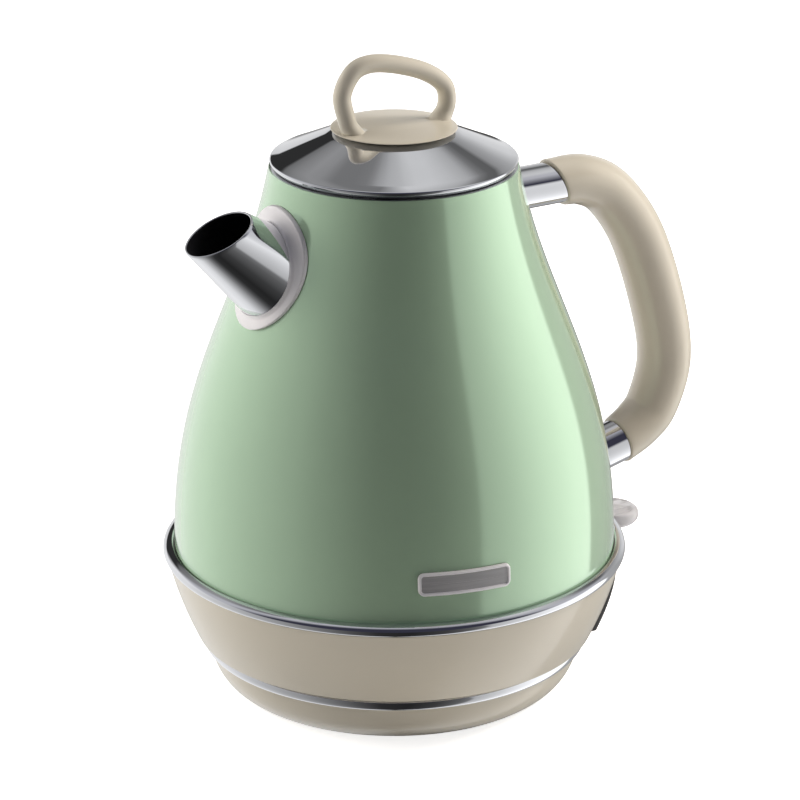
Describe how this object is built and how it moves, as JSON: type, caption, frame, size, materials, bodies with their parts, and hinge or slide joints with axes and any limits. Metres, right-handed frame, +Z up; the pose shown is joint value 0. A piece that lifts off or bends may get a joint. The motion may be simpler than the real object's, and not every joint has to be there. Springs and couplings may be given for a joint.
{
  "type": "electric kettle",
  "caption": "Cordless electric kettle: tapered painted steel jug with loop-knob lid, short spout, side handle and switch, on a round power base.",
  "frame": {"origin": "centre of the power base's underside plate; its feet stand 1.5 mm lower", "axes": "+Z up, -X towards the spout, +X towards the handle"},
  "size_m": [0.2241, 0.176, 0.2475],
  "materials": {
    "painted_green": "high-gloss pastel green enamel on stainless steel",
    "cream_plastic": "satin-gloss cream moulded plastic",
    "chrome": "polished chrome",
    "stainless_steel": "satin stainless steel",
    "aluminium": "plain rolled aluminium",
    "brass": "bare brass contact",
    "black_plastic": "matt black heat-proof plastic",
    "grey_rubber": "matt silicone rubber",
    "clear_plastic": "clear moulded polycarbonate",
    "lamp_amber": "amber neon lamp"
  },
  "bodies": {
    "power_base": {"base_shell": "cream_plastic", "base_trim_ring": "chrome", "base_bottom_plate": "cream_plastic", "base_foot_1": "grey_rubber", "base_foot_2": "grey_rubber", "base_foot_3": "grey_rubber", "base_foot_4": "grey_rubber", "base_foot_5": "grey_rubber", "base_screw_1": "stainless_steel", "base_screw_2": "stainless_steel", "base_screw_3": "stainless_steel", "base_connector": "black_plastic", "cord_gland": "black_plastic"},
    "socket": {"connector_socket": "black_plastic", "socket_pin": "brass", "socket_contact_ring": "brass"},
    "jug": {"body_shell": "painted_green", "body_trim_ring": "chrome", "jug_floor": "stainless_steel", "heat_plate": "aluminium", "heating_element": "stainless_steel", "skirt": "cream_plastic", "skirt_bottom_cover": "cream_plastic", "rear_panel": "black_plastic", "control_unit": "black_plastic", "control_stud_1": "stainless_steel", "control_stud_2": "stainless_steel", "control_stud_3": "stainless_steel", "steam_tube": "clear_plastic", "steam_thermostat": "black_plastic", "bimetal_disc": "stainless_steel", "badge_plate": "chrome", "spout_tube": "chrome", "spout_collar": "chrome", "filter_holder": "cream_plastic", "handle_grip": "cream_plastic", "handle_ferrule_upper": "chrome", "handle_ferrule_lower": "chrome", "handle_screw_upper": "stainless_steel", "handle_screw_lower": "stainless_steel", "handle_seal_upper": "grey_rubber", "handle_seal_lower": "grey_rubber", "switch_bracket": "black_plastic", "switch_pin": "stainless_steel", "trip_pin": "stainless_steel", "indicator_lamp": "lamp_amber"},
    "switch": {"switch_lever": "clear_plastic"},
    "trip": {"trip_lever": "black_plastic"},
    "filter": {"filter_frame": "cream_plastic", "filter_mesh": "stainless_steel"},
    "lid": {"lid_cover": "chrome", "lid_liner": "stainless_steel", "lid_seal": "grey_rubber", "lid_knob": "cream_plastic", "lid_screw": "stainless_steel"}
  },
  "joints": [
    {"name": "jug_lift", "type": "slide", "parent": "power_base", "child": "socket", "axis": [0, 0, 1], "range_m": [0, 0.07]},
    {"name": "jug_swivel", "type": "hinge", "parent": "socket", "child": "jug", "pos_m": [0, 0, 0.03], "axis": [0, 0, 1], "continuous": true},
    {"name": "lid_lift", "type": "slide", "parent": "jug", "child": "lid", "axis": [0, 0, 1], "range_m": [0, 0.045]},
    {"name": "switch_press", "type": "hinge", "parent": "jug", "child": "switch", "pos_m": [0.072, 0, 0.0425], "axis": [0, 1, 0], "range_deg": [0, 12]},
    {"name": "trip_turn", "type": "hinge", "parent": "jug", "child": "trip", "pos_m": [0.052, 0, 0.0425], "axis": [0, 1, 0], "range_deg": [-9.6, 0]},
    {"name": "filter_slide", "type": "slide", "parent": "jug", "child": "filter", "axis": [0.3305, 0, 0.9438], "range_m": [0, 0.008]}
  ],
  "couplings": [
    {"joint": "trip_turn", "follows": "switch_press", "ratio": -0.8}
  ]
}
